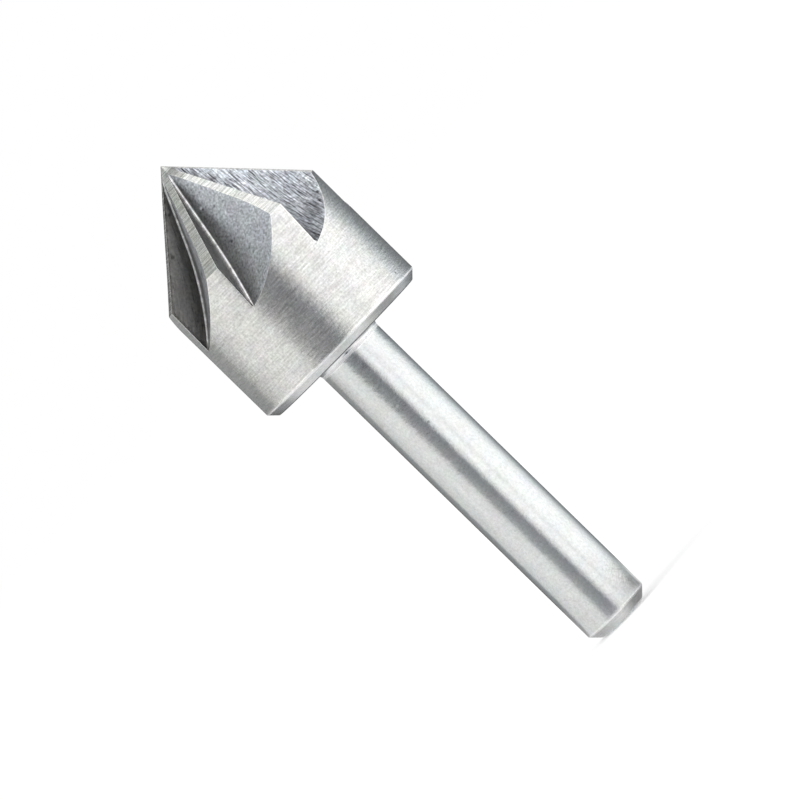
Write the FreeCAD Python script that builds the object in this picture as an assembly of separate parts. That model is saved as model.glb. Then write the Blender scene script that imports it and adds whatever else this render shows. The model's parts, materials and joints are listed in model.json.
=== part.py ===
import FreeCAD, Part
import math
import os

# A countersink-type chamfer cutter, turned and ground from one bar of steel.
# It stands on the free end of its shank, with the tool axis on +Z and the tip on top.
# All lengths are in millimetres and all angles in degrees.

# Head: a cutting cone that runs into a short cylinder
head_diameter = 19.0
head_length = 23.7            # from the tip to the flat back of the head
cone_angle = 86.0             # between opposite sides of the cone
head_back_chamfer = 0.8

# Plain round shank
shank_diameter = 7.0
shank_length = 35.6           # from the back of the head to the free end
shank_end_chamfer = 1.1
shank_root_radius = 0.5       # fillet where the shank meets the head

# Flutes, each ground by one pass of a large disc with a vee-shaped rim
flute_count = 7
flute_bearing = -15.8         # first flute, measured from the front (-Y) towards +X
flute_tip_height = 0.42       # flute floor over the axis, level with the tip
flute_floor_angle = 25.6      # straight part of the floor against the tool axis
flute_straight_length = 7.55  # floor from level with the tip to where the disc leaves
flute_disc_radius = 30.0      # hollow in which each flute runs out
flute_vee_angle = 75.5        # between the rake face and the clearance wall
flute_corner_radius = 0.15    # round at the bottom of the vee
rake_offset = 0.15            # rake face ahead of the tool axis, level with the tip
rake_skew = 3.4               # rake face against the tool axis

# Worked out from the dimensions above
head_radius = head_diameter / 2
shank_radius = shank_diameter / 2
tip_height = shank_length + head_length
cone_height = head_radius / math.tan(math.radians(cone_angle / 2))
lead_in = head_radius         # start of the disc's pass, outside the blank
runout_angle = 60             # turn over which the disc is clear of the head
top = FreeCAD.Vector(0, 0, 1)
origin = FreeCAD.Vector(0, 0, 0)


def at(radius, height):
    """A point of the turned outline, in the XZ plane."""
    return FreeCAD.Vector(radius, 0, height)


def turned_blank():
    """The blank as it leaves the lathe: shank, head and cone in one solid."""
    root = shank_root_radius
    inset = root * (1 - math.sqrt(0.5))
    outline = [
        Part.makePolygon([
            at(0, 0),
            at(shank_radius - shank_end_chamfer, 0),
            at(shank_radius, shank_end_chamfer),
            at(shank_radius, shank_length - root),
        ]),
        Part.Arc(
            at(shank_radius, shank_length - root),
            at(shank_radius + inset, shank_length - inset),
            at(shank_radius + root, shank_length),
        ).toShape(),
        Part.makePolygon([
            at(shank_radius + root, shank_length),
            at(head_radius - head_back_chamfer, shank_length),
            at(head_radius, shank_length + head_back_chamfer),
            at(head_radius, tip_height - cone_height),
            at(0, tip_height),
            at(0, 0),
        ]),
    ]
    edges = [edge for piece in outline for edge in piece.Edges]
    face = Part.Face(Part.Wire(edges))
    return face.revolve(origin, top, 360)


def vee_section():
    """Section of the vee-shaped rim, in the XY plane, with its corner near the origin.

    +X runs across the disc and +Y towards its centre. The side at X = 0 leaves
    the rake face, and the sloping side leaves the clearance wall.
    """
    slope = math.radians(90 - flute_vee_angle)
    half_vee = math.radians(flute_vee_angle / 2)
    size = head_radius
    corner = flute_corner_radius
    run = corner / math.tan(half_vee)
    reach = corner / math.sin(half_vee) - corner

    def rim(across, drop):
        return FreeCAD.Vector(across, drop, 0)

    side_end = rim(0, run)
    round_mid = rim(reach * math.sin(half_vee), reach * math.cos(half_vee))
    slope_start = rim(run * math.cos(slope), run * math.sin(slope))
    slope_end = rim(size, size * math.tan(slope))
    outline = [
        Part.Arc(side_end, round_mid, slope_start).toShape(),
        Part.makePolygon([slope_start, slope_end, rim(size, size), rim(0, size), side_end]),
    ]
    edges = [edge for piece in outline for edge in piece.Edges]
    return Part.Face(Part.Wire(edges))


def disc_pass():
    """All that the disc takes away on one pass, which runs along +Z from the origin.

    It starts clear of the tip and feeds straight on. Where it stops and leaves,
    its round rim stays behind as a hollow. The faces are held as splines, which
    meet the cone cleanly for any size of disc.
    """
    section = vee_section()
    section.translate(FreeCAD.Vector(0, 0, -lead_in))
    straight = section.extrude(FreeCAD.Vector(0, 0, lead_in + flute_straight_length))
    section.translate(FreeCAD.Vector(0, 0, lead_in + flute_straight_length))
    disc_centre = FreeCAD.Vector(0, flute_disc_radius, flute_straight_length)
    runout = section.revolve(disc_centre, FreeCAD.Vector(-1, 0, 0), runout_angle)
    return straight.fuse(runout).toNurbs()


def flute_space(bearing):
    """One pass of the disc in its place on the tool, turned to the flute's bearing."""
    floor_angle = math.radians(flute_floor_angle)
    skew = math.tan(math.radians(rake_skew))
    across = FreeCAD.Vector(1, 0, -skew)
    along = FreeCAD.Vector(-skew * math.cos(floor_angle), -math.sin(floor_angle), -math.cos(floor_angle))
    space = disc_pass()
    space.Placement = FreeCAD.Placement(
        FreeCAD.Vector(rake_offset, -flute_tip_height, tip_height),
        FreeCAD.Rotation(across, along.cross(across), along, "XYZ"),
    )
    space.rotate(origin, top, bearing)
    return space


def chamfer_cutter():
    """The finished tool: the blank with its flutes ground out."""
    bearings = [flute_bearing + 360 * i / flute_count for i in range(flute_count)]
    return turned_blank().cut([flute_space(bearing) for bearing in bearings])


os.makedirs("parts", exist_ok=True)
cutter = chamfer_cutter()
solid = cutter.Solids[0]
solid.exportStep("parts/cutter.step")
print("solids", len(cutter.Solids), "valid", solid.isValid(), "volume", round(solid.Volume, 2))
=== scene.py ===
import json
import math

import bmesh
import bpy
from mathutils import Matrix, Vector

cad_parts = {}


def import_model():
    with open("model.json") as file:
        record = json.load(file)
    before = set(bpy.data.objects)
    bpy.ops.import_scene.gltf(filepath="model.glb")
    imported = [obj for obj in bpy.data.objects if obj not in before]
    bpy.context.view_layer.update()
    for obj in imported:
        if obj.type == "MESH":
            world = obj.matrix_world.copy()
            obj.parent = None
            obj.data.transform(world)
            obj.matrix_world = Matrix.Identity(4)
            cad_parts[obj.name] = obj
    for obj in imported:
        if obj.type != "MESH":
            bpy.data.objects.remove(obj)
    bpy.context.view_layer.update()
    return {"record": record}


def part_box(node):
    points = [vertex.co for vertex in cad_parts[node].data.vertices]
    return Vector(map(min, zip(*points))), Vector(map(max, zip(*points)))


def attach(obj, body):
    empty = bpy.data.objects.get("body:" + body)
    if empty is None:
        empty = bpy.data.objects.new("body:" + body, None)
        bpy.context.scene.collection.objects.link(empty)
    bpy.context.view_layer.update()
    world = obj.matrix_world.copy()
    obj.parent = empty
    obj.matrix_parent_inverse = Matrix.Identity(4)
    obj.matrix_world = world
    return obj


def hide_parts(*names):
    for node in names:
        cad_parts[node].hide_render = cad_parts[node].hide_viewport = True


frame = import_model()

# Main sizes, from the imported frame, in metres
mm = 0.001
mounts = {mount["name"]: mount for mount in frame["record"]["mounts"]}
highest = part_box("cutter")[1]
tip_height = highest.z
head_radius = highest.x
shank_radius = mounts["shank"]["dims"]["r_mm"] * mm
head_back = mounts["head_back"]["pos_m"][2]

# Turned outline
cone_half_angle = math.radians(43)
cone_depth = head_radius / math.tan(cone_half_angle)
cone_base_round = 0.08 * mm
cone_base_reach = cone_base_round * math.tan(cone_half_angle / 2)
tip_flat = 0.03 * mm
head_chamfer = 0.8 * mm
shank_chamfer = 1.1 * mm
root_round = 0.5 * mm
turned_edge_round = 0.09 * mm

# Widths of the lines before the turned edges and of the rings after them, most of which carry painted
# highlights, and those at the head's back edge painted shade
edge_lead = 0.03 * mm
back_edge_shade = 0.1 * mm
edge_ring_width = 0.1 * mm
root_highlight_width = 0.2 * mm

# Flutes, each the space left by one pass of a large disc with a vee-shaped rim
flute_count = 7
flute_bearing = math.radians(-15.8)
flute_tip_height = 0.42 * mm
flute_floor_angle = math.radians(25.6)
flute_straight_length = 7.55 * mm
flute_disc_radius = 30 * mm
flute_vee_angle = math.radians(75.5)
flute_corner_radius = 0.15 * mm
rake_offset = 0.15 * mm
rake_skew = math.radians(3.4)
cutting_edge_round = 0.02 * mm
heel_edge_round = 0.05 * mm

# How badly the wheel tore the walls of each flute, from none to most
flute_tears = (0.15, 1.0, 0.5, 0.8, 0.35, 0.9, 0.6)

# How far the tears drift towards the floor for each step along the flute
tear_slant = 0.15

# How strongly each flute's wall is painted with shade on its inner part and with light on its outer part
flute_shading_strength = (0.3, 0.2, 0.5, 0.1, 0.7, 0.3, 1.0)

# Steps of the mesh round one flute and the land behind it
edge_steps = 3
rake_steps = 9
corner_steps = 6
clearance_steps = 18
land_steps = 17
sector = 2 * math.pi / flute_count

# Rings of the mesh along the tool, closer where the flutes start and run out
tip_rings = 4
flute_rings = 110
end_rings = 8
end_ring_depth = 0.002 * mm
end_ring_growth = 1.7
base_round_shares = (-0.73, -0.3, 0.1, 0.5, 1)
plain_ring_spacing = 1.5 * mm
end_face_shares = (0.35, 0.7, 0.95)

# How much closer the points lie near the edges of a wall and of a land
wall_crowding = 1.3
land_crowding = 0.08

# Least shares of a wall's width, on each side of its corner and in the corner
side_share = 0.15
corner_share = 0.02

# Largest share of a wall or a land that the round of its edge takes
round_share = 0.2

# Rounds and reach of the searches for a flute's floor and its two edges
search_rounds = 40
floor_search = (-1 * mm, 2 * mm)
rake_search = 12 * mm
clearance_search = 14 * mm

# Small steps that give the direction of the wall and of the land at an edge
wall_nudge = 0.01
bearing_nudge = 0.001

# Points closer than this are one point
merge_distance = 2e-8

# Keeps the grain of one flute apart from that of the next
grain_shift = 17.0

# Finish of each part of the surface, in the order of the material slots; the root finish is painted
# shade, and the floor finish and the bright edge finish are painted highlights
finishes = ("head", "cone", "clearance", "rake", "floor", "shank", "turned", "root", "painted_highlight")


def rounded_corner(before, corner, after, radius, limit, steps):
    """Points of an arc that rounds a corner, from the side of before to that of after."""
    first = (before - corner).normalized()
    second = (after - corner).normalized()
    half = first.angle(second) / 2
    tangent = min(radius / math.tan(half), limit)
    size = tangent * math.tan(half)
    middle = corner + (first + second).normalized() * (size / math.sin(half))
    start = (corner + first * tangent - middle).normalized()
    end = (corner + second * tangent - middle).normalized()
    return [middle + start.slerp(end, i / steps) * size for i in range(steps + 1)]


class Disc:
    """The grinding disc of the first flute and its pass, before it is turned to its bearing.

    It feeds straight along the floor, and leaves its own round rim where it stops.
    """

    def __init__(self):
        skew = math.tan(rake_skew)
        floor_run = math.cos(flute_floor_angle)
        self.axis = Vector((1, 0, -skew)).normalized()
        self.along = Vector((-skew * floor_run, -math.sin(flute_floor_angle), -floor_run)).normalized()
        self.outward = self.along.cross(self.axis)
        self.start = Vector((rake_offset, -flute_tip_height, tip_height))
        self.centre = self.start + self.along * flute_straight_length + self.outward * flute_disc_radius
        self.tilt = math.atan2(self.outward.z, self.along.z)
        self.lean = math.hypot(self.outward.z, self.along.z)
        self.slope = math.pi / 2 - flute_vee_angle
        self.corner_run = flute_corner_radius / math.tan(flute_vee_angle / 2)
        self.corner_length = flute_corner_radius * (math.pi - flute_vee_angle)

    def rim(self, step):
        """Distance across the disc and drop from its rim, at a distance along its edge.

        Below zero the point is on the flat side, which leaves the rake face. Up to
        corner_length it is on the round corner, and past that on the sloping rim.
        """
        if step < 0:
            return 0.0, self.corner_run - step
        if step < self.corner_length:
            turn = step / flute_corner_radius
            across = flute_corner_radius * (1 - math.cos(turn))
            return across, self.corner_run - flute_corner_radius * math.sin(turn)
        reach = self.corner_run + step - self.corner_length
        return reach * math.cos(self.slope), reach * math.sin(self.slope)

    def point(self, step, height):
        """Where the disc's edge passes a height, and how far along the flute that is."""
        across, drop = self.rim(step)
        edge = self.axis * across + self.outward * drop
        travel = (height - self.start.z - edge.z) / self.along.z
        if travel <= flute_straight_length:
            place = self.start + edge + self.along * travel
            return Vector((place.x, place.y)), travel
        reach = flute_disc_radius - drop
        level = (height - self.centre.z - self.axis.z * across) / (reach * self.lean)
        swing = math.remainder(self.tilt + math.pi - math.asin(level), 2 * math.pi)
        arm = self.along * math.sin(swing) - self.outward * math.cos(swing)
        place = self.centre + self.axis * across + arm * reach
        return Vector((place.x, place.y)), flute_straight_length + flute_disc_radius * swing

    def deepest(self, height):
        """The step at which the flute comes nearest to the tool's axis at a height."""
        low, high = floor_search
        for _ in range(search_rounds):
            third = (high - low) / 3
            if self.point(low + third, height)[0].length < self.point(high - third, height)[0].length:
                high -= third
            else:
                low += third
        return (low + high) / 2

    def crossing(self, height, radius, inside, outside):
        """The step at which the flute's wall reaches a radius."""
        for _ in range(search_rounds):
            middle = (inside + outside) / 2
            if self.point(middle, height)[0].length < radius:
                inside = middle
            else:
                outside = middle
        return inside


disc = Disc()


def blank_radius(depth):
    """Radius of the turned blank at a depth below the tip, with the cone's base rounded."""
    start = cone_depth - cone_base_reach * math.cos(cone_half_angle)
    end = cone_depth + cone_base_reach
    if depth <= start:
        return depth * math.tan(cone_half_angle)
    if depth >= end:
        return head_radius
    drop = end - depth
    return head_radius - cone_base_round + math.sqrt(cone_base_round**2 - drop**2)


def flute_limit(open_depth, closed_depth):
    """The depth at which the flutes start or run out, between an open and a closed section."""
    for _ in range(search_rounds):
        middle = (open_depth + closed_depth) / 2
        height = tip_height - middle
        if disc.point(disc.deepest(height), height)[0].length < blank_radius(middle):
            open_depth = middle
        else:
            closed_depth = middle
    return open_depth


flute_start = flute_limit(open_depth=3 * mm, closed_depth=0.2 * mm)
flute_end = flute_limit(open_depth=12 * mm, closed_depth=18 * mm)


def ring_depths():
    """Depths of the rings over the fluted length, closer where the flutes start and run out."""
    length = flute_end - flute_start
    depths = [flute_start + length * i / flute_rings for i in range(flute_rings + 1)]
    fine = [end_ring_depth * end_ring_growth**i for i in range(end_rings)]
    depths += [flute_start + offset for offset in fine]
    depths += [flute_end - offset for offset in fine]
    depths += [cone_depth + cone_base_reach * share for share in base_round_shares]
    return sorted(depths)


def wall_steps(rake, heel):
    """Steps along the flute's wall between its two edges, closer at the edges and in the corner."""
    width = heel - rake
    middle = heel - width / 2
    corner_start = min(max(0.0, rake + side_share * width), middle)
    corner_end = min(disc.corner_length, heel - side_share * width)
    corner_end = max(corner_end, corner_start + corner_share * width)
    first, bend, rest = corner_start - rake, corner_end - corner_start, heel - corner_end
    rakes = [rake + first * (i / rake_steps) ** wall_crowding for i in range(1, rake_steps)]
    corners = [corner_start + bend * i / corner_steps for i in range(corner_steps + 1)]
    left = [(1 - i / clearance_steps) ** wall_crowding for i in range(1, clearance_steps)]
    return rakes + corners + [corner_end + rest * (1 - share) for share in left]


def polar(radius, bearing):
    return Vector((radius * math.sin(bearing), -radius * math.cos(bearing)))


def bearing_of(point):
    return math.atan2(point.x, -point.y)


def flute_edges(height, radius):
    """The steps of a flute's two edges at a height, and the small arcs that round them."""
    lowest_step = disc.deepest(height)
    rake = disc.crossing(height, radius, lowest_step, lowest_step - rake_search)
    heel = disc.crossing(height, radius, lowest_step, lowest_step + clearance_search)
    rake_edge = disc.point(rake, height)[0]
    heel_edge = disc.point(heel, height)[0]
    rake_bearing, heel_bearing = bearing_of(rake_edge), bearing_of(heel_edge)
    nudge = wall_nudge * (heel - rake)
    limit = round_share * min(heel - rake, (rake_bearing + sector - heel_bearing) * radius)
    rake_arc = rounded_corner(
        polar(radius, rake_bearing - bearing_nudge), rake_edge, disc.point(rake + nudge, height)[0],
        cutting_edge_round, limit, edge_steps,
    )
    heel_arc = rounded_corner(
        disc.point(heel - nudge, height)[0], heel_edge, polar(radius, heel_bearing + bearing_nudge),
        heel_edge_round, limit, edge_steps,
    )
    return rake, heel, rake_arc, heel_arc


def land_points(radius, heel_arc, heel_bearing, rake_arc, rake_bearing):
    """The land from a flute's heel to the next flute's cutting edge."""
    first = bearing_of(heel_arc[-1])
    last = bearing_of(rake_arc[0]) + sector
    points = []
    for i in range(1, land_steps):
        share = i / land_steps
        share = share - land_crowding * math.sin(2 * math.pi * share)
        bearing = first + (last - first) * share
        reach = min(bearing - heel_bearing, rake_bearing + sector - bearing) * radius
        points.append((polar(radius, bearing), (bearing, 0.0), reach))
    return points


def open_section(depth, radius):
    """One flute and the land behind it at a depth: points with their grain and distance to an edge."""
    height = tip_height - depth
    rake, heel, rake_arc, heel_arc = flute_edges(height, radius)
    rake_edge, rake_travel = disc.point(rake, height)
    heel_edge, heel_travel = disc.point(heel, height)
    rake_gap = (rake_arc[-1] - rake_edge).length
    heel_gap = (heel_arc[0] - heel_edge).length
    section = [(point, (rake_travel, rake), 0.0) for point in rake_arc]
    for step in wall_steps(rake + rake_gap, heel - heel_gap):
        point, travel = disc.point(step, height)
        section.append((point, (travel, step), min(step - rake, heel - step)))
    section += [(point, (heel_travel, heel), 0.0) for point in heel_arc]
    section += land_points(radius, heel_arc, bearing_of(heel_edge), rake_arc, bearing_of(rake_edge))
    return section


def closed_section(radius, tip_bearing, reach=mm):
    """A round section, whose flute points are all at the bearing where the flutes end."""
    flute_points = 2 * (edge_steps + 1) + rake_steps + corner_steps + clearance_steps - 1
    section = [(polar(radius, tip_bearing), (tip_bearing, 0.0), reach)] * flute_points
    for i in range(1, land_steps):
        bearing = tip_bearing + sector * i / land_steps
        section.append((polar(radius, bearing), (bearing, 0.0), reach))
    return section


def column_finishes(land):
    """The finish of each column of faces in one section."""
    walls = ["rake"] * rake_steps + ["floor"] * corner_steps + ["clearance"] * clearance_steps
    return [land] * edge_steps + walls + [land] * (edge_steps + land_steps)


def lower_outline():
    """Turned outline below the flutes, from the head to the centre of the shank's end.

    Each corner has its radius and height, the width of the line before it, the radius
    and the finishes of its round, the width of the ring after it, and the finish that
    follows. Each point comes with the finish above it and its distance to a turned edge.
    """
    bend_steps = 2 * edge_steps
    bright, dark, plain = ((name,) * (bend_steps + 1) for name in ("painted_highlight", "root", "turned"))
    # The root's round has painted shade next to the head and a painted highlight next to the shank
    root_bend = dark[:3] + plain[:2] + bright[:2]
    small = turned_edge_round
    # Bright rounds are painted highlights on the turned edges, and the dark round is painted shade at
    # the head's back
    corners = (
        (head_radius, head_back + head_chamfer, edge_lead, small, bright, edge_ring_width, "turned"),
        (head_radius - head_chamfer, head_back, back_edge_shade, small, dark, edge_ring_width, "root"),
        (shank_radius, head_back, 0.0, root_round, root_bend, root_highlight_width, "shank"),
        (shank_radius, shank_chamfer, 0.0, small, bright, edge_ring_width, "turned"),
        (shank_radius - shank_chamfer, 0, 0.0, small, plain, edge_ring_width, "turned"),
    )
    start = Vector((head_radius, tip_height - flute_end))
    end = Vector((0, 0))
    points = [start] + [Vector(corner[:2]) for corner in corners] + [end]
    outline = []
    previous, finish = start, "head"
    for i, (_, _, lead, radius, bend, ring, next_finish) in enumerate(corners):
        arc = rounded_corner(points[i], points[i + 1], points[i + 2], radius, mm, bend_steps)
        last = arc[0] + (previous - arc[0]).normalized() * lead
        pieces = max(2, round((last - previous).length / plain_ring_spacing))
        outline += [(previous.lerp(last, k / pieces), finish, mm) for k in range(1, pieces)]
        outline.append((last, finish, 0.0))
        if lead:
            outline.append((arc[0], bend[0], 0.0))
        outline += [(point, name, 0.0) for point, name in zip(arc[1:], bend)]
        onward = points[i + 2] - arc[-1]
        previous = arc[-1] + onward.normalized() * min(ring, onward.length / 3)
        outline.append((previous, bend[-1], 0.0))
        finish = next_finish
    outline += [(previous.lerp(end, share), finish, mm) for share in end_face_shares]
    return outline


def rings():
    """Every ring of the tool from the tip down: height, section and finishes of the faces above it."""
    start_point = disc.point(disc.deepest(tip_height - flute_start), tip_height - flute_start)[0]
    end_point = disc.point(disc.deepest(tip_height - flute_end), tip_height - flute_end)[0]
    start_bearing, end_bearing = bearing_of(start_point), bearing_of(end_point)
    made = []
    for i in range(tip_rings + 1):
        depth = tip_flat + (flute_start - tip_flat) * i / tip_rings
        section = closed_section(blank_radius(depth), start_bearing)
        made.append((tip_height - depth, section, column_finishes("cone")))
    for depth in ring_depths()[1:-1]:
        land = "cone" if depth <= cone_depth else "head"
        section = open_section(depth, blank_radius(depth))
        made.append((tip_height - depth, section, column_finishes(land)))
    last_section = closed_section(head_radius, end_bearing)
    made.append((tip_height - flute_end, last_section, column_finishes("head")))
    for point, finish, reach in lower_outline():
        section = closed_section(point.x, end_bearing, reach)
        made.append((point.y, section, [finish] * len(section)))
    return made


def point_layers(shape):
    """What each point keeps for the finishes."""
    layers = shape.verts.layers
    return {
        "grain": layers.float_vector.new("grain"),
        "edge": layers.float.new("edge"),
        "tears": layers.float.new("tears"),
        "shading_strength": layers.float.new("shading_strength"),
    }


def ring_of_points(shape, layers, height, section):
    """One ring round the tool, with its grain and edge distance kept on the points."""
    row = []
    for number in range(flute_count):
        turn = Matrix.Rotation(flute_bearing + number * sector, 2)
        for point, (travel, step), reach in section:
            place = turn @ point
            vertex = shape.verts.new((place.x, place.y, height))
            vertex[layers["grain"]] = (travel / mm, step / mm, number * grain_shift)
            vertex[layers["edge"]] = reach / mm
            vertex[layers["tears"]] = flute_tears[number]
            vertex[layers["shading_strength"]] = flute_shading_strength[number]
            row.append(vertex)
    return row


def tool_mesh():
    """The whole tool as one mesh of rings."""
    made = rings()
    shape = bmesh.new()
    layers = point_layers(shape)
    grid = [ring_of_points(shape, layers, height, section) for height, section, _ in made]
    columns = len(grid[0])
    for i in range(1, len(grid)):
        names = made[i][2] * flute_count
        for j in range(columns):
            k = (j + 1) % columns
            face = shape.faces.new((grid[i - 1][j], grid[i][j], grid[i][k], grid[i - 1][k]))
            face.material_index = finishes.index(names[j])
    for row, finish in ((grid[0], "cone"), (grid[-1][::-1], "turned")):
        shape.faces.new(row).material_index = finishes.index(finish)
    bmesh.ops.remove_doubles(shape, verts=shape.verts, dist=merge_distance)
    bmesh.ops.dissolve_degenerate(shape, dist=merge_distance, edges=shape.edges)
    for face in shape.faces:
        face.smooth = True
    mesh = bpy.data.meshes.new("ground_cutter")
    shape.to_mesh(mesh)
    shape.free()
    return mesh


def add(tree, kind, inputs=None, **settings):
    """A shader node with its settings, and its inputs given as values or as sockets to link."""
    node = tree.nodes.new("ShaderNode" + kind)
    for name, value in settings.items():
        setattr(node, name, value)
    for name, value in (inputs or {}).items():
        if isinstance(value, bpy.types.NodeSocket):
            tree.links.new(value, node.inputs[name])
        else:
            node.inputs[name].default_value = value
    return node


def empty_material(name):
    material = bpy.data.materials.new(name)
    material.use_nodes = True
    material.node_tree.nodes.clear()
    return material, material.node_tree


def spread(tree, value, low, high, to_low, to_high):
    """Maps a value from one range to another."""
    inputs = {"Value": value, "From Min": low, "From Max": high, "To Min": to_low, "To Max": to_high}
    return add(tree, "MapRange", inputs).outputs["Result"]


def calculate(tree, operation, first, second=0.0):
    """One step of arithmetic."""
    return add(tree, "Math", {0: first, 1: second}, operation=operation).outputs["Value"]


def noise(tree, coordinates, scale, detail=3.0, offset=(0, 0, 0), distortion=0.0, harshness=0.5):
    """Noise over coordinates in millimetres, with its own scale on each axis."""
    mapping = add(tree, "Mapping", {"Vector": coordinates, "Scale": scale, "Location": offset})
    return add(tree, "TexNoise", {
        "Vector": mapping.outputs["Vector"],
        "Scale": 1.0,
        "Detail": detail,
        "Distortion": distortion,
        "Roughness": harshness,
    }).outputs["Fac"]


def product(tree, factors):
    """All the factors multiplied together."""
    result = factors[0]
    for factor in factors[1:]:
        result = calculate(tree, "MULTIPLY", result, factor)
    return result


def point_value(tree, name):
    """A number that the mesh keeps on its points."""
    return add(tree, "Attribute", attribute_name=name).outputs["Fac"]


def grain(tree):
    """Travel along the flute, step across its wall, and a number of its own for each flute."""
    return add(tree, "Attribute", attribute_name="grain").outputs["Vector"]


def axis_of(tree, vector, axis):
    return add(tree, "SeparateXYZ", {"Vector": vector}).outputs[axis]


def place_in_mm(tree):
    source = add(tree, "TexCoord").outputs["Object"]
    return add(tree, "VectorMath", {0: source, "Scale": 1 / mm}, operation="SCALE").outputs["Vector"]


def faint_tint(tree, place, amount):
    """A colour factor near one, whose tint drifts from place to place."""
    drift = add(tree, "TexNoise", {"Vector": place, "Scale": 0.7, "Detail": 4.0}).outputs["Color"]
    level = (1 - amount / 2,) * 3
    tint = add(tree, "VectorMath", {0: drift, 1: (amount,) * 3, 2: level}, operation="MULTIPLY_ADD")
    return tint.outputs["Vector"]


def relief(tree, heights):
    """Bumps laid one on another, each given as its height and its depth in mm."""
    normal = {}
    for height, depth in heights:
        bump = add(tree, "Bump", {"Height": height, "Strength": 1.0, "Distance": depth * mm, **normal})
        normal = {"Normal": bump.outputs["Normal"]}
    return normal


def steel(name, colour, roughness, streaks, speckle, along="axis", wave=0.0, wave_lines=6.0,
          anisotropy=0.0, shades=()):
    """Bare ground steel.

    Streaks are the grinding lines, given as (scale, tone, depth in mm). They follow
    the tool's axis or the flute, as along says. Speckle is the fine satin grain,
    given the same way. Wave is the depth in mm of the broader unevenness that bends
    reflections, and wave_lines its scale along the tool. Shades are functions
    that give one more factor each.
    """
    material, tree = empty_material(name)
    place = place_in_mm(tree)
    in_flute = along == "flute"
    flow, wander = (grain(tree), 0.4) if in_flute else (place, 0.0)
    line_scale, line_tone, line_depth = streaks
    dot_scale, dot_tone, dot_depth = speckle
    lines = noise(tree, flow, line_scale, 4.0, distortion=wander)
    dots = noise(tree, place, (dot_scale,) * 3, 3.0, (3, 1, 8))
    clouds = noise(tree, place, (0.5, 0.5, 0.5), 2.0, (4, 7, 2))
    swell = noise(tree, place, (1.2, 1.2, wave_lines), 4.0, (9, 5, 1), 0.0, 0.6)
    factors = [
        spread(tree, lines, 0.25, 0.75, 1 - line_tone, 1 + line_tone),
        spread(tree, dots, 0.25, 0.75, 1 - dot_tone, 1 + dot_tone),
        spread(tree, clouds, 0.3, 0.7, 0.975, 1.025),
    ]
    shine = product(tree, factors + [shade(tree) for shade in shades])
    tint = add(tree, "VectorMath", {0: faint_tint(tree, place, 0.12), 1: colour}, operation="MULTIPLY")
    tone = add(tree, "VectorMath", {0: tint.outputs["Vector"], "Scale": shine}, operation="SCALE")
    heights = [(lines, line_depth), (dots, dot_depth)] + ([(swell, wave)] if wave else [])
    shader = add(tree, "BsdfPrincipled", {
        "Base Color": tone.outputs["Vector"],
        "Metallic": 1.0,
        "Roughness": spread(tree, lines, 0.3, 0.7, *roughness),
        "Anisotropic": anisotropy,
        "Anisotropic Rotation": 0.25,
        **relief(tree, heights),
    })
    if anisotropy:
        tangent = add(tree, "Tangent", direction_type="RADIAL", axis="Z")
        tree.links.new(tangent.outputs["Tangent"], shader.inputs["Tangent"])
    add(tree, "OutputMaterial", {"Surface": shader.outputs["BSDF"]})
    return material


def painted_edge_highlight(amount):
    """A painted highlight along an edge, from the distance to the edge."""
    def shade(tree):
        return spread(tree, point_value(tree, "edge"), 0.03, 0.11, 1 + amount, 1.0)
    return shade


def shoulder_highlight(amount):
    """A painted highlight round the top of the head, where the cone ends."""
    def shade(tree):
        height = axis_of(tree, add(tree, "TexCoord").outputs["Object"], "Z")
        shoulder = tip_height - cone_depth
        return spread(tree, height, shoulder - 0.14 * mm, shoulder - 0.05 * mm, 1.0, 1 + amount)
    return shade


def corner_shade(darkest, width):
    """Painted shade that darkens a flute wall towards the corner at its floor."""
    # Place of the corner's middle across the wall, in mm
    corner_middle = 0.13

    def shade(tree):
        reach = calculate(tree, "SUBTRACT", axis_of(tree, grain(tree), "Y"), corner_middle)
        return spread(tree, calculate(tree, "ABSOLUTE", reach), 0.1, width, darkest, 1.0)
    return shade


def grinding_tears(amount, dulling):
    """Coarse short tears along the flute, which also dull it, stronger in some flutes."""
    def shade(tree):
        torn = point_value(tree, "tears")
        flow = grain(tree)
        parts = add(tree, "SeparateXYZ", {"Vector": flow}).outputs
        across = add(tree, "VectorMath", {0: flow, 1: (tear_slant, 1, 0)}, operation="DOT_PRODUCT")
        slanted = {"X": parts["X"], "Y": across.outputs["Value"], "Z": parts["Z"]}
        slanted = add(tree, "CombineXYZ", slanted).outputs["Vector"]
        tears = noise(tree, slanted, (0.7, 9.0, 1.0), 4.0, (2, 6, 3), 0.7, 0.65)
        strength = spread(tree, torn, 0.0, 1.0, 0.0, amount)
        change = calculate(tree, "MULTIPLY", spread(tree, tears, 0.3, 0.7, -1.0, 1.0), strength)
        return calculate(tree, "ADD", change, spread(tree, torn, 0.0, 1.0, 1.0, 1 - dulling))
    return shade


def travel_light_and_shade(lighter, darker):
    """Painted light and shade: torn flutes are lighter where the disc went in, and darker where it left.

    The smoothest flutes are a little darker where it went in.
    """
    def shade(tree):
        travel = axis_of(tree, grain(tree), "X")
        torn = point_value(tree, "tears")
        first = spread(tree, travel, 8.0, 12.0, 1.0, 0.0)
        last = spread(tree, travel, 13.4, 14.9, 0.0, 1.0)
        lift = calculate(tree, "MULTIPLY", first, spread(tree, torn, 0.0, 1.0, -0.7 * lighter, lighter))
        drop = calculate(tree, "MULTIPLY", last, spread(tree, torn, 0.0, 1.0, 0.0, darker))
        return calculate(tree, "ADD", calculate(tree, "SUBTRACT", lift, drop), 1.0)
    return shade


def beads(amount):
    """Light and dark lengths along the painted highlight of a flute's floor."""
    def shade(tree):
        lengths = noise(tree, grain(tree), (1.4, 0.3, 1.0), 4.0, (6, 2, 4))
        return spread(tree, lengths, 0.3, 0.7, 1 - amount, 1 + amount)
    return shade


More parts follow.
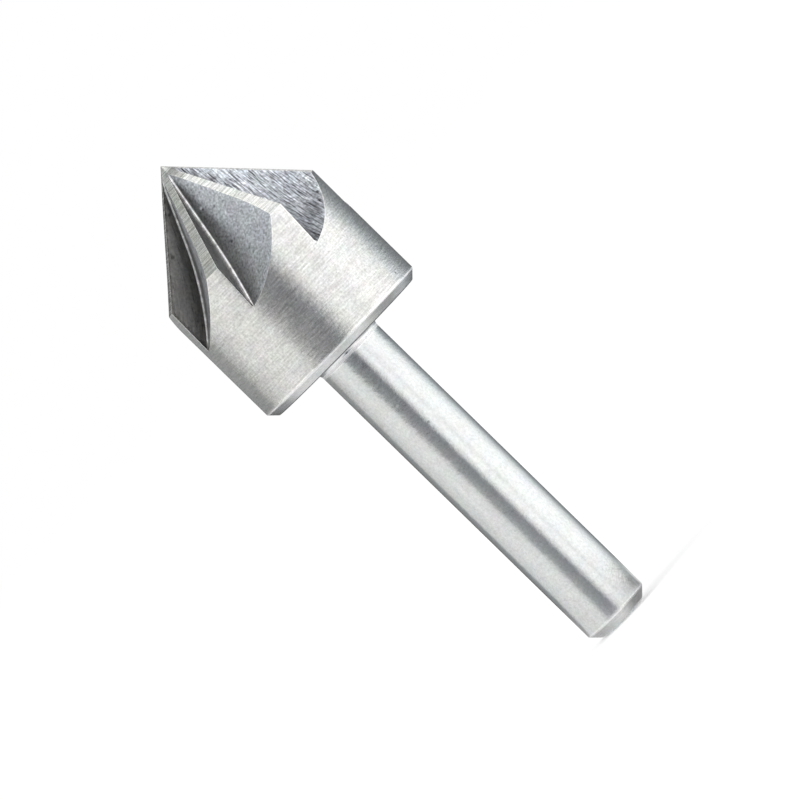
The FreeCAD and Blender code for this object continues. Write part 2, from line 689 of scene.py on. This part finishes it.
def wall_shade_gradient(inner, outer):
    """Painted shade near a wall's floor and painted light further out, stronger in some flutes."""
    def shade(tree):
        steps = axis_of(tree, grain(tree), "Y")
        width = calculate(tree, "ADD", steps, point_value(tree, "edge"))
        share = calculate(tree, "DIVIDE", steps, width)
        change = spread(tree, share, 0.28, 0.52, inner - 1, outer - 1)
        painted_change = calculate(tree, "MULTIPLY", change, point_value(tree, "shading_strength"))
        return calculate(tree, "ADD", painted_change, 1.0)
    return shade


def painted_heel_light(amount, width):
    """Painted light on a wall, growing towards its outer edge."""
    def shade(tree):
        return spread(tree, point_value(tree, "edge"), 0.0, width, 1 + amount, 1.0)
    return shade


def shaded_chipped_edge(rim, amount):
    """A dark line of painted shade along a cutting edge, with chips and smears that reach in from it."""
    def shade(tree):
        edge = point_value(tree, "edge")
        chips = noise(tree, grain(tree), (2.5, 1.0, 1.0), 3.0, (1, 1, 5))
        depth = spread(tree, chips, 0.48, 0.62, 0.0, amount)
        loss = calculate(tree, "MULTIPLY", depth, spread(tree, edge, 0.15, 0.45, 1.0, 0.0))
        line = spread(tree, edge, 0.1, 0.26, rim, 1.0)
        return product(tree, [line, spread(tree, loss, 0.0, 1.0, 1.0, 0.0)])
    return shade


def small_marks(marks):
    """Single dents and specks, each given as its place and radius in mm and its level."""
    def shade(tree):
        place = place_in_mm(tree)
        spots = []
        for centre, radius, level in marks:
            reach = add(tree, "VectorMath", {0: place, 1: centre}, operation="DISTANCE").outputs["Value"]
            spots.append(spread(tree, reach, 0.4 * radius, radius, level, 1.0))
        return product(tree, spots)
    return shade


def pits(amount):
    """A few small dark pits."""
    def shade(tree):
        spots = noise(tree, place_in_mm(tree), (2.2, 2.2, 2.2), 1.0, (5, 3, 4))
        return spread(tree, spots, 0.70, 0.76, 1.0, 1 - amount)
    return shade


# Single marks on the front of the tool: place and radius in mm, and the level of the mark
wall_marks = (
    # A dent: a painted glint, and just below it a painted shadow
    ((-0.18, -3.28, 53.97), 0.2, 3.2),
    ((-0.10, -3.40, 53.75), 0.2, 0.5),
    ((-0.36, -5.63, 49.89), 0.22, 0.35),
    ((0.82, -4.26, 53.24), 0.18, 0.55),
    ((1.09, -5.08, 52.06), 0.18, 1.5),
    ((0.36, -7.23, 48.35), 0.18, 0.5),
    # A nick at a flute's heel: a painted glint, and a dark spot beside it
    ((8.55, -3.91, 47.52), 0.22, 1.8),
    ((8.32, -4.03, 47.47), 0.24, 0.25),
    ((-4.45, -5.39, 49.70), 0.4, 0.35),
)
tip_marks = (
    ((0.45, -0.90, 58.20), 0.9, 0.42),
    ((0.65, -1.60, 57.45), 0.6, 0.55),
)
rake_marks = (
    ((-2.61, -1.10, 55.60), 0.24, 0.45),
    ((-5.20, -1.92, 52.70), 0.28, 0.45),
    ((-5.05, -1.98, 52.95), 0.2, 0.6),
)
head_marks = (((7.99, -5.13, 37.26), 0.17, 0.4),)
root_marks = (((-0.32, -3.52, 35.26), 0.2, 0.3),)
shank_marks = (
    ((-0.55, -3.46, 28.58), 0.2, 1.4),
    ((0.41, -3.48, 25.57), 0.18, 0.55),
)


def outer_materials():
    """The finishes of the turned and ground outside: head, lands of the cone, shank and edges."""
    edge = painted_edge_highlight(0.22)
    return {
        "head": steel(
            "head_steel", colour=(0.66, 0.66, 0.645), roughness=(0.10, 0.19),
            streaks=((0.5, 0.5, 6.0), 0.18, 0.002), speckle=(4.5, 0.20, 0.006), wave=0.022,
            anisotropy=0.3,
            shades=(painted_edge_highlight(0.38), shoulder_highlight(0.25), pits(0.12), small_marks(head_marks)),
        ),
        "cone": steel(
            "cone_steel", colour=(0.64, 0.65, 0.63), roughness=(0.2, 0.34),
            streaks=((0.3, 0.3, 10.0), 0.42, 0.002), speckle=(6.0, 0.25, 0.001), anisotropy=0.3,
            shades=(painted_edge_highlight(0.1), small_marks(tip_marks)),
        ),
        "shank": steel(
            "shank_steel", colour=(0.65, 0.665, 0.66), roughness=(0.11, 0.19),
            streaks=((1.6, 1.6, 1.6), 0.05, 0.002), speckle=(4.0, 0.11, 0.004), wave=0.014,
            wave_lines=1.2, anisotropy=0.2, shades=(edge, pits(0.1), small_marks(shank_marks)),
        ),
        "turned": steel(
            "turned_steel", colour=(0.64, 0.65, 0.65), roughness=(0.2, 0.3),
            streaks=((0.6, 0.6, 7.0), 0.08, 0.001), speckle=(4.0, 0.12, 0.001), anisotropy=0.3,
            shades=(edge, small_marks(root_marks)),
        ),
        # Painted shade under the head: its back, the inner edge of its chamfer and the top of the root's
        # round
        "root": steel(
            "root_shade_steel", colour=(0.26, 0.26, 0.27), roughness=(0.3, 0.4),
            streaks=((0.6, 0.6, 7.0), 0.2, 0.001), speckle=(4.0, 0.2, 0.001),
        ),
        # A pale colour that paints the highlights on the rounds of the turned edges
        "painted_highlight": steel(
            "painted_highlight_steel", colour=(0.92, 0.92, 0.92), roughness=(0.45, 0.6),
            streaks=((0.6, 0.6, 7.0), 0.06, 0.001), speckle=(4.0, 0.1, 0.001),
        ),
    }


def flute_materials():
    """The finishes inside the flutes: clearance wall, rake face and floor."""
    return {
        "clearance": steel(
            "clearance_steel", colour=(0.495, 0.52, 0.56), roughness=(0.3, 0.42),
            streaks=((0.8, 5.0, 1.0), 0.1, 0.003), speckle=(4.5, 0.5, 0.008), along="flute", wave=0.01,
            shades=(
                corner_shade(0.52, 1.8), grinding_tears(0.82, 0.38), pits(0.4), painted_heel_light(0.22, 0.8),
                wall_shade_gradient(0.5, 1.65), travel_light_and_shade(0.34, 0.36), small_marks(wall_marks),
            ),
        ),
        "rake": steel(
            "rake_steel", colour=(0.35, 0.335, 0.315), roughness=(0.25, 0.38),
            streaks=((0.5, 5.0, 1.0), 0.2, 0.003), speckle=(4.0, 0.25, 0.004), along="flute",
            shades=(
                corner_shade(0.85, 1.6), grinding_tears(0.28, 0.1), shaded_chipped_edge(0.5, 0.4),
                small_marks(rake_marks),
            ),
        ),
        # A pale colour that paints the highlight along the corner at each flute's floor
        "floor": steel(
            "floor_highlight_steel", colour=(0.84, 0.84, 0.85), roughness=(0.25, 0.35),
            streaks=((0.8, 6.0, 1.0), 0.08, 0.002), speckle=(4.0, 0.15, 0.002), along="flute",
            shades=(grinding_tears(0.1, 0.35), beads(0.45)),
        ),
    }


def ground_cutter():
    """The tool itself, in place of its plain solid."""
    piece = bpy.data.objects.new("ground_cutter", tool_mesh())
    bpy.context.scene.collection.objects.link(piece)
    materials = {**outer_materials(), **flute_materials()}
    for finish in finishes:
        piece.data.materials.append(materials[finish])
    weighted = piece.modifiers.new("even_normals", "WEIGHTED_NORMAL")
    weighted.keep_sharp = True
    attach(piece, "root")
    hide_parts("cutter")
    return piece


# Studio: a round wall, its foot and a ceiling that only reflections see
wall_radius = 600 * mm
wall_height = 750 * mm
ceiling_hole = 1 * mm
foot_height = 0.2 * mm
foot_radii = (2.65 * mm, 10 * mm, 100 * mm, wall_radius)
studio_steps = 180

# Where one set of panels blends into the next: up the wall, and out along the foot
low_to_middle = (15 * mm, 20 * mm)
middle_to_high = (60 * mm, 120 * mm)
inner_to_white = (5 * mm, 6.5 * mm)
white_to_outer = (9.8 * mm, 13 * mm)
outer_to_low = (35 * mm, 70 * mm)

# Each list gives a bearing in degrees, from the front towards +X, and the red, green and blue there
wall_panels = (
    (-180, 0.10, 0.10, 0.10),
    (-160, 0.38, 0.39, 0.39),
    (-145, 0.41, 0.42, 0.42),
    (-119, 0.42, 0.43, 0.41),
    (-92, 0.93, 0.93, 0.91),
    (-70, 1.06, 1.06, 1.03),
    (-47, 0.98, 0.98, 0.97),
    (-41, 0.80, 0.80, 0.79),
    (-35, 0.27, 0.27, 0.28),
    (-20, 0.205, 0.205, 0.22),
    (5, 0.15, 0.155, 0.17),
    (20, 0.98, 0.98, 0.98),
    (28, 1.36, 1.36, 1.36),
    (38, 1.20, 1.20, 1.20),
    (50, 1.28, 1.28, 1.28),
    (62, 1.40, 1.40, 1.40),
    (85, 1.42, 1.42, 1.42),
    (104, 1.06, 1.10, 1.11),
    (119, 0.46, 0.51, 0.54),
    (132, 0.27, 0.30, 0.32),
    (160, 0.21, 0.22, 0.23),
    (180, 0.10, 0.10, 0.10),
)
low_panels = (
    (-180, 0.10, 0.10, 0.10),
    (-160, 0.20, 0.20, 0.20),
    (-145, 0.30, 0.31, 0.32),
    (-126, 0.38, 0.39, 0.40),
    (-117, 0.86, 0.86, 0.86),
    (-92, 0.98, 0.98, 0.98),
    (-70, 1.10, 1.10, 1.10),
    (-40, 1.04, 1.04, 1.04),
    (-34, 0.94, 0.94, 0.94),
    (-26, 0.54, 0.55, 0.56),
    (-12, 0.41, 0.42, 0.435),
    (4, 0.36, 0.37, 0.395),
    (16, 1.12, 1.12, 1.12),
    (24, 1.36, 1.36, 1.36),
    (36, 1.42, 1.42, 1.42),
    (46, 1.22, 1.22, 1.22),
    (57, 1.46, 1.46, 1.46),
    (85, 1.50, 1.50, 1.50),
    (104, 1.40, 1.42, 1.43),
    (120, 1.02, 1.06, 1.08),
    (140, 0.46, 0.49, 0.51),
    (160, 0.22, 0.23, 0.24),
    (180, 0.10, 0.10, 0.10),
)
high_panels = (
    (-180, 0.12, 0.12, 0.12),
    (-160, 0.16, 0.16, 0.16),
    (-148, 0.40, 0.40, 0.40),
    (-128, 0.72, 0.72, 0.71),
    (-92, 0.93, 0.93, 0.91),
    (-70, 1.06, 1.06, 1.03),
    (-46, 0.98, 0.98, 0.97),
    (-32, 0.5, 0.5, 0.5),
    (-11, 0.4, 0.4, 0.4),
    (3, 0.4, 0.4, 0.4),
    (20, 1.10, 1.10, 1.10),
    (85, 1.30, 1.30, 1.30),
    (120, 0.80, 0.80, 0.80),
    (180, 0.75, 0.75, 0.75),
)
outer_foot = (
    (-180, 0.5, 0.5, 0.5),
    (-142, 0.42, 0.42, 0.42),
    (-131, 0.46, 0.46, 0.46),
    (-121, 0.94, 0.94, 0.94),
    (-40, 1.0, 1.0, 1.0),
    (-34, 0.86, 0.86, 0.86),
    (-26, 0.52, 0.53, 0.54),
    (-12, 0.41, 0.42, 0.435),
    (4, 0.36, 0.37, 0.395),
    (16, 1.05, 1.05, 1.05),
    (30, 1.20, 1.20, 1.20),
    (65, 0.90, 0.90, 0.90),
    (90, 0.60, 0.60, 0.60),
    (108, 0.42, 0.42, 0.42),
    (130, 0.45, 0.45, 0.45),
    (145, 0.9, 0.9, 0.9),
    (180, 0.8, 0.8, 0.8),
)
inner_foot = (
    (-180, 0.5, 0.5, 0.5),
    (-60, 0.62, 0.62, 0.62),
    (-35, 0.75, 0.75, 0.75),
    (-15, 0.88, 0.88, 0.88),
    (0, 0.98, 0.98, 0.98),
    (12, 0.88, 0.88, 0.88),
    (26, 0.60, 0.60, 0.60),
    (40, 0.40, 0.40, 0.40),
    (60, 0.36, 0.36, 0.36),
    (180, 0.4, 0.4, 0.4),
)
ceiling_panels = (
    (-180, 0.9, 0.9, 0.9),
    (-120, 0.53, 0.55, 0.53),
    (-70, 0.56, 0.57, 0.56),
    (-30, 0.9, 0.9, 0.9),
    (60, 1.32, 1.32, 1.32),
    (120, 1.36, 1.36, 1.36),
    (180, 0.9, 0.9, 0.9),
)
panel_limit = 2.0


def glossy_only(piece):
    """Shows a stage piece in reflections and nowhere else."""
    piece.visible_camera = False
    piece.visible_diffuse = False
    piece.visible_transmission = False
    piece.visible_volume_scatter = False
    piece.visible_shadow = False


def bearing_ramp(tree, panels, position):
    """Light whose colour depends on the bearing about the tool's axis."""
    parts = add(tree, "SeparateXYZ", {"Vector": position}).outputs
    angle = calculate(tree, "ARCTAN2", parts["X"], calculate(tree, "MULTIPLY", parts["Y"], -1.0))
    share = spread(tree, angle, -math.pi, math.pi, 0.0, 1.0)
    ramp = add(tree, "ValToRGB", {"Fac": share})
    stops = ramp.color_ramp.elements
    while len(stops) < len(panels):
        stops.new(0.5)
    for stop, (degrees, *shade) in zip(stops, panels):
        stop.position = (degrees + 180) / 360
        stop.color = (*[level / panel_limit for level in shade], 1)
    return ramp.outputs["Color"]


def blended(tree, first, second, value, start, end):
    """Goes from one colour to another while a value passes from start to end."""
    share = spread(tree, value, start, end, 0.0, 1.0)
    # A Mix node takes its two colours in sockets 6 and 7, and output 2 is their mix
    return add(tree, "Mix", {0: share, 6: first, 7: second}, data_type="RGBA").outputs[2]


def glow_material(name, colour_of):
    material, tree = empty_material(name)
    position = add(tree, "TexCoord").outputs["Object"]
    glow = add(tree, "Emission", {"Color": colour_of(tree, position), "Strength": panel_limit})
    add(tree, "OutputMaterial", {"Surface": glow.outputs["Emission"]})
    return material


def wall_colour(tree, position):
    height = axis_of(tree, position, "Z")
    bands = (low_panels, wall_panels, high_panels)
    low, middle, high = (bearing_ramp(tree, panels, position) for panels in bands)
    lower = blended(tree, low, middle, height, *low_to_middle)
    return blended(tree, lower, high, height, *middle_to_high)


def ceiling_colour(tree, position):
    return bearing_ramp(tree, ceiling_panels, position)


def foot_colour(tree, position):
    """The floor as reflections see it, from the tool out to the wall."""
    white = (1 / panel_limit, 1 / panel_limit, 1 / panel_limit, 1)
    distance = add(tree, "VectorMath", {0: position}, operation="LENGTH").outputs["Value"]
    bands = (inner_foot, outer_foot, low_panels)
    inner, outer, far = (bearing_ramp(tree, panels, position) for panels in bands)
    near = blended(tree, inner, white, distance, *inner_to_white)
    middle = blended(tree, near, outer, distance, *white_to_outer)
    return blended(tree, middle, far, distance, *outer_to_low)


def sheet_of_rings(name, profile, steps):
    """A surface of revolution about Z from a list of radius and height."""
    mesh = bpy.data.meshes.new(name)
    points = []
    faces = []
    for radius, height in profile:
        for i in range(steps):
            place = polar(radius, 2 * math.pi * i / steps)
            points.append((place.x, place.y, height))
    for row in range(len(profile) - 1):
        for i in range(steps):
            k = (i + 1) % steps
            here, next_row = row * steps, (row + 1) * steps
            faces.append((here + i, here + k, next_row + k, next_row + i))
    mesh.from_pydata(points, [], faces)
    piece = bpy.data.objects.new(name, mesh)
    bpy.context.scene.collection.objects.link(piece)
    return piece


def studio_set():
    """The wall of panels round the tool, its ceiling and its foot over the floor."""
    parts = (
        ("studio_foot", [(radius, foot_height) for radius in foot_radii], foot_colour),
        ("studio_wall", [(wall_radius, foot_height), (wall_radius, wall_height)], wall_colour),
        ("studio_ceiling", [(wall_radius, wall_height), (ceiling_hole, wall_height)], ceiling_colour),
    )
    for name, profile, colour_of in parts:
        piece = sheet_of_rings(name, profile, studio_steps)
        piece.data.materials.append(glow_material(name, colour_of))
        glossy_only(piece)


# Floor: the glow that brings it up to plain white when lit, and its rings
floor_glow = 0.36
floor_radii = (0.1 * mm, 50 * mm, 300 * mm, 3000 * mm)
floor_steps = 96


def seen_directly(tree):
    """One for the camera's rays and those of reflections, and zero for all others."""
    light_path = add(tree, "LightPath").outputs
    both = calculate(tree, "MAXIMUM", light_path["Is Camera Ray"], light_path["Is Glossy Ray"])
    return calculate(tree, "MAXIMUM", both, light_path["Is Transmission Ray"])


def floor_material():
    """Pale floor that takes the tool's shadow, and is plain white elsewhere."""
    material, tree = empty_material("pale_floor")
    glow = spread(tree, seen_directly(tree), 0.0, 1.0, 0.0, floor_glow)
    matt = add(tree, "BsdfDiffuse", {"Color": (0.8, 0.8, 0.8, 1)})
    white = add(tree, "Emission", {"Color": (1, 1, 1, 1), "Strength": glow})
    both = add(tree, "AddShader", {0: matt.outputs["BSDF"], 1: white.outputs["Emission"]})
    add(tree, "OutputMaterial", {"Surface": both.outputs["Shader"]})
    return material


def floor():
    piece = sheet_of_rings("floor", [(radius, 0) for radius in floor_radii], floor_steps)
    piece.data.materials.append(floor_material())


# Soft level of the world, and the lamp that gives the shadow its direction
soft_level = 0.8
lamp_place = (-0.6, -0.5, 0.9)
lamp_size = 0.6
lamp_power = 3.0


def world():
    """White to the camera and in reflections, and a plain soft level for everything else."""
    made = bpy.data.worlds.new("studio")
    bpy.context.scene.world = made
    made.use_nodes = True
    tree = made.node_tree
    tree.nodes.clear()
    soft = add(tree, "Background", {"Color": (1, 1, 1, 1), "Strength": soft_level})
    white = add(tree, "Background", {"Color": (1, 1, 1, 1), "Strength": 1.0})
    mixed = add(tree, "MixShader", {
        0: seen_directly(tree),
        1: soft.outputs["Background"],
        2: white.outputs["Background"],
    })
    add(tree, "OutputWorld", {"Surface": mixed.outputs["Shader"]})


def key_lamp():
    """A soft square lamp that faces the tool and lights the floor and its shadow."""
    data = bpy.data.lights.new("key_lamp", "AREA")
    data.size = lamp_size
    data.energy = lamp_power
    piece = bpy.data.objects.new("key_lamp", data)
    piece.location = lamp_place
    aim = Vector((0, 0, tip_height / 2)) - piece.location
    piece.rotation_mode = "QUATERNION"
    piece.rotation_quaternion = aim.to_track_quat("-Z", "Y")
    piece.visible_glossy = False
    bpy.context.scene.collection.objects.link(piece)


# Camera, matched to the photograph
camera_target = Vector((0, 0, 28.7 * mm))
camera_distance = 730 * mm
camera_lens = 359
camera_rise = math.radians(1.9)
camera_roll = math.radians(45.68)


def camera():
    """Looks along +Y from a little above, rolled so that the tip points to the upper left."""
    back = Vector((0, -math.cos(camera_rise), math.sin(camera_rise)))
    level = Vector((1, 0, 0))
    upright = back.cross(level)
    right = level * math.cos(camera_roll) - upright * math.sin(camera_roll)
    up = level * math.sin(camera_roll) + upright * math.cos(camera_roll)
    data = bpy.data.cameras.new("camera")
    data.lens = camera_lens
    data.sensor_width = 36
    data.clip_start = 0.01
    data.clip_end = 20
    piece = bpy.data.objects.new("camera", data)
    turn = Matrix((right, up, back)).transposed()
    piece.matrix_world = Matrix.Translation(camera_target + back * camera_distance) @ turn.to_4x4()
    bpy.context.scene.collection.objects.link(piece)
    bpy.context.scene.camera = piece


ground_cutter()
studio_set()
floor()
world()
key_lamp()
camera()
bpy.context.scene.view_settings.view_transform = "Standard"
